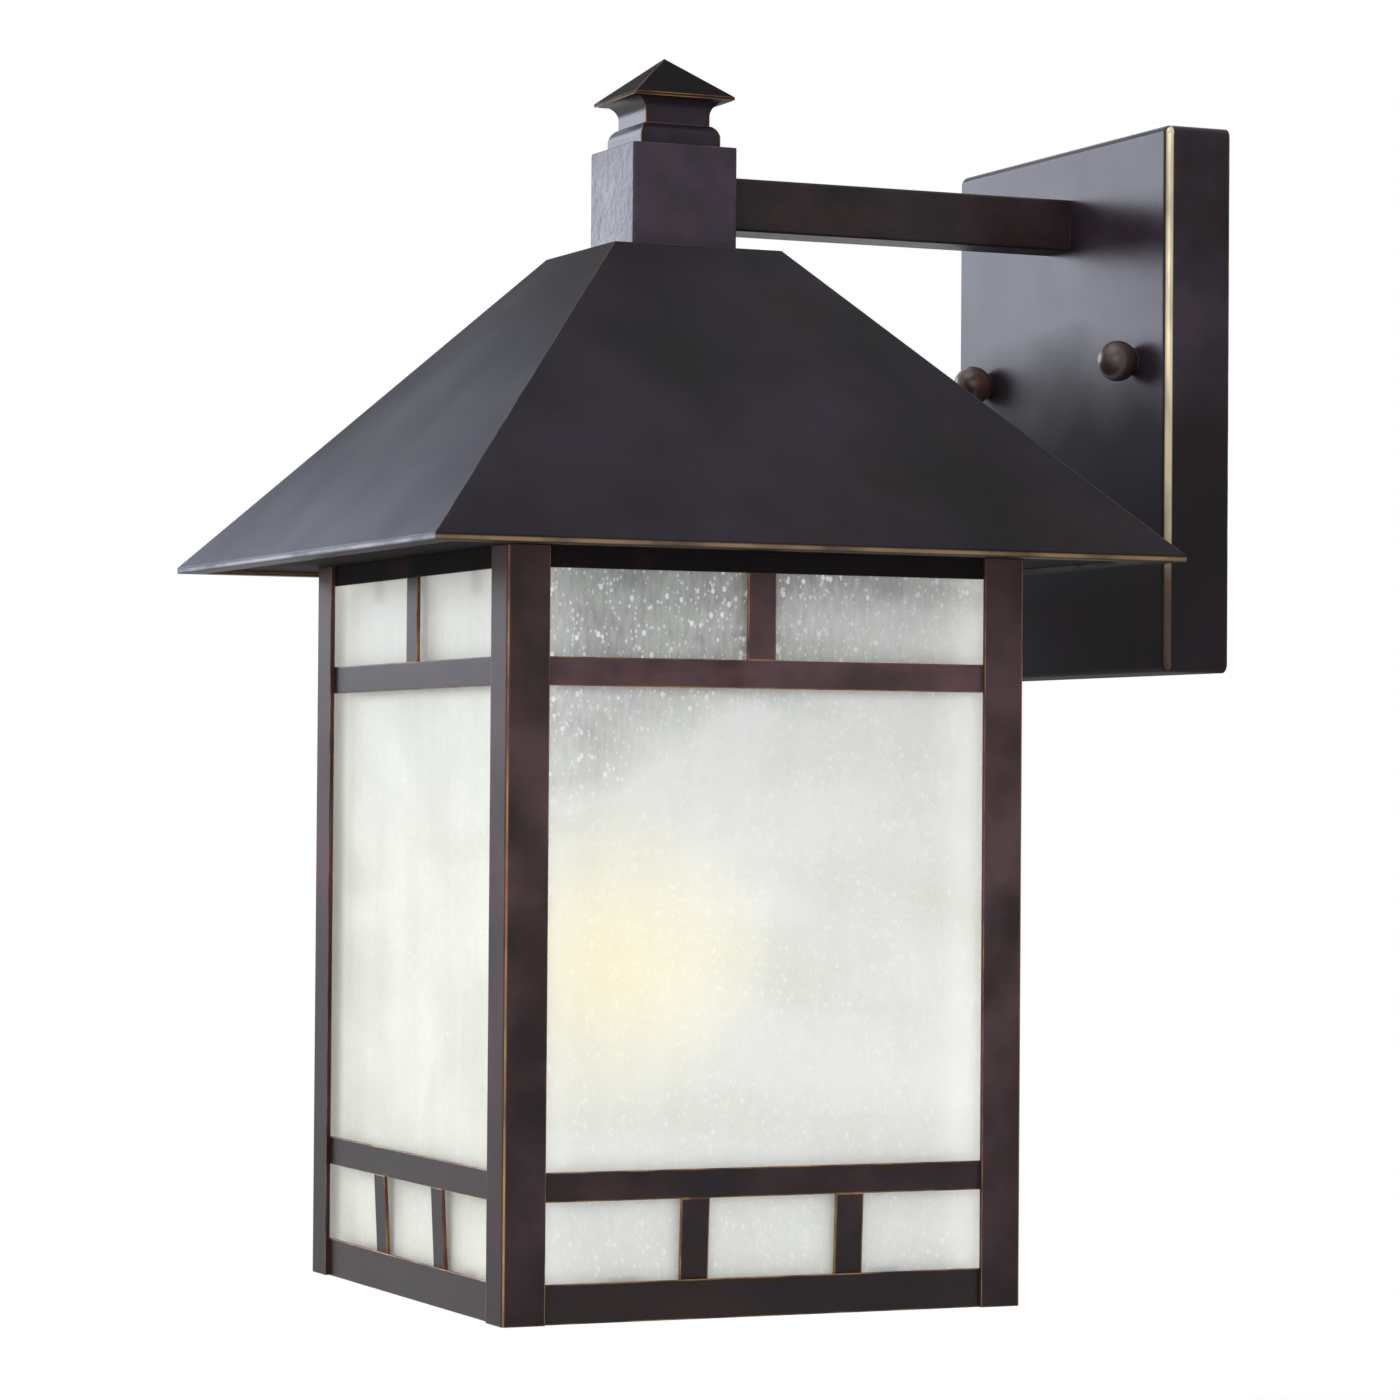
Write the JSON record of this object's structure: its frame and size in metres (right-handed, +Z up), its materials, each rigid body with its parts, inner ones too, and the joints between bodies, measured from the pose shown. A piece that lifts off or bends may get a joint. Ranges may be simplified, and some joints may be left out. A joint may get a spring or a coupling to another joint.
{
  "type": "outdoor wall light",
  "caption": "Square wall lantern with a pyramid roof, hung from a square arm on a wall plate; seedy glass panes between bars, with a bulb inside.",
  "frame": {"origin": "centre of the junction-box screw pattern, on the wall plane", "axes": "+Z up, +Y into the wall, so the lantern hangs out towards -Y; +X to the right seen from the front"},
  "size_m": [0.214, 0.252, 0.343],
  "materials": {
    "bronze": "dark oil-rubbed bronze, satin, with edges worn to brass",
    "seedy_glass": "frosted, full of small seeds",
    "frosted_bulb": "soft white frost",
    "lamp_brass": "bright nickelled brass",
    "lamp_tip": "black glass insulator with a soldered tip",
    "porcelain": "glazed porcelain",
    "zinc_steel": "zinc plated",
    "green_screw": "green earthing screw",
    "rubber": "black rubber"
  },
  "bodies": {
    "lantern": {"arm_backing_plate": "zinc_steel", "arm_nipple": "zinc_steel", "arm_nut": "zinc_steel", "arm_plug": "bronze", "arm_tube": "bronze", "back_bottom_rail": "bronze", "back_glass": "seedy_glass", "back_lower_transom": "bronze", "back_muntins": "bronze", "back_upper_transom": "bronze", "backplate": "bronze", "centre_rod": "zinc_steel", "crossbar": "zinc_steel", "finial": "bronze", "frame_nuts": "zinc_steel", "frame_screws": "zinc_steel", "front_bottom_rail": "bronze", "front_glass": "seedy_glass", "front_left_post": "bronze", "front_lower_transom": "bronze", "front_muntins": "bronze", "front_right_post": "bronze", "front_upper_transom": "bronze", "glass_clips": "zinc_steel", "ground_screw": "green_screw", "left_bottom_rail": "bronze", "left_glass": "seedy_glass", "left_lower_transom": "bronze", "left_muntins": "bronze", "left_stud": "zinc_steel", "left_upper_transom": "bronze", "neck_block": "bronze", "rear_left_post": "bronze", "rear_right_post": "bronze", "right_bottom_rail": "bronze", "right_glass": "seedy_glass", "right_lower_transom": "bronze", "right_muntins": "bronze", "right_stud": "zinc_steel", "right_upper_transom": "bronze", "rod_nut": "zinc_steel", "rod_washer": "zinc_steel", "roof_shell": "bronze", "socket_body": "porcelain", "socket_contact": "lamp_brass", "socket_nipple": "zinc_steel", "socket_nut": "zinc_steel", "socket_shell": "lamp_brass", "socket_strap": "zinc_steel", "soffit_plate": "bronze", "stud_nuts": "zinc_steel", "top_frame": "bronze"},
    "bulb": {"bulb_glass": "frosted_bulb", "bulb_base": "lamp_brass", "bulb_tip": "lamp_tip"},
    "left_washer": {"left_nut_washer": "rubber"},
    "left_nut": {"left_ball_nut": "bronze"},
    "right_washer": {"right_nut_washer": "rubber"},
    "right_nut": {"right_ball_nut": "bronze"}
  },
  "joints": [
    {"name": "bulb_unscrew", "type": "slide", "parent": "lantern", "child": "bulb", "axis": [0, 0, -1], "range_m": [0, 0.02]},
    {"name": "left_nut_travel", "type": "slide", "parent": "lantern", "child": "left_washer", "axis": [0, -1, 0], "range_m": [0, 0.0063]},
    {"name": "left_nut_turn", "type": "hinge", "parent": "left_washer", "child": "left_nut", "pos_m": [-0.04445, -0.0206, 0], "axis": [0, -1, 0], "range_deg": [0, 2880]},
    {"name": "right_nut_travel", "type": "slide", "parent": "lantern", "child": "right_washer", "axis": [0, -1, 0], "range_m": [0, 0.0063]},
    {"name": "right_nut_turn", "type": "hinge", "parent": "right_washer", "child": "right_nut", "pos_m": [0.04445, -0.0206, 0], "axis": [0, -1, 0], "range_deg": [0, 2880]}
  ],
  "couplings": [
    {"joint": "left_nut_turn", "follows": "left_nut_travel", "rad_per_m": 7915.8},
    {"joint": "right_nut_turn", "follows": "right_nut_travel", "rad_per_m": 7915.8}
  ]
}
